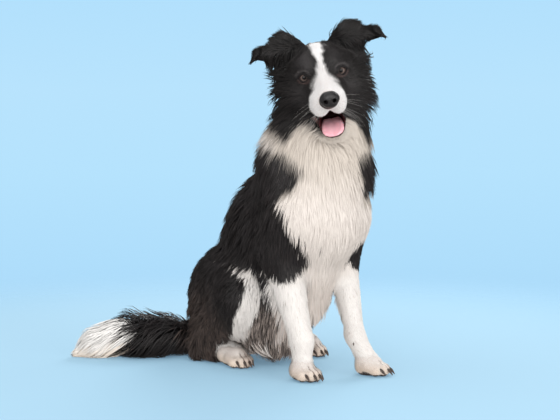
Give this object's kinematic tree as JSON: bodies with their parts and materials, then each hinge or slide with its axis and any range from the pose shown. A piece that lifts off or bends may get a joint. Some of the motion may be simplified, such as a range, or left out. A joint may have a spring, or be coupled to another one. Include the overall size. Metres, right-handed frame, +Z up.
{
  "type": "sitting dog figure",
  "caption": "Life-size long-coated sheepdog sitting upright, head turned to its right and tilted, mouth open with tongue showing, semi-erect folded ears, bushy tail lying on the floor.",
  "frame": {"origin": "bottom centre of the overall box, on the floor the dog sits on", "axes": "+Z up; -Y the way the chest faces; +X the dog's own left side"},
  "size_m": [0.4654, 0.5894, 0.6878],
  "materials": {
    "coat_black": "long soft coat, black, faintly glossy",
    "coat_white": "long soft coat, white",
    "eye": "wet, polished, dark brown iris",
    "nose_leather": "damp pebbled black skin",
    "tongue_flesh": "wet, satin, pink",
    "claw": "satin horn, dark"
  },
  "bodies": {
    "root": {"tail": "coat_black", "neck": "coat_white", "leg_front_right": "coat_white", "leg_hind_right": "coat_black", "leg_front_left": "coat_white", "leg_hind_left": "coat_black", "trunk": "coat_black", "paw_front_right": "coat_white", "paw_front_left": "coat_white", "paw_hind_right": "coat_white", "paw_hind_left": "coat_white", "ear_left": "coat_black", "ear_right": "coat_black", "jaw": "coat_white", "head": "coat_black", "eye_left": "eye", "eye_right": "eye", "nose": "nose_leather", "tongue": "tongue_flesh", "claw_front_right_1": "claw", "claw_front_right_2": "claw", "claw_front_right_3": "claw", "claw_front_right_4": "claw", "claw_front_left_1": "claw", "claw_front_left_2": "claw", "claw_front_left_3": "claw", "claw_front_left_4": "claw", "claw_hind_right_1": "claw", "claw_hind_right_2": "claw", "claw_hind_right_3": "claw", "claw_hind_right_4": "claw", "claw_hind_left_1": "claw", "claw_hind_left_2": "claw", "claw_hind_left_3": "claw", "claw_hind_left_4": "claw", "claw_dew_right": "claw", "claw_dew_left": "claw"}
  },
  "joints": []
}
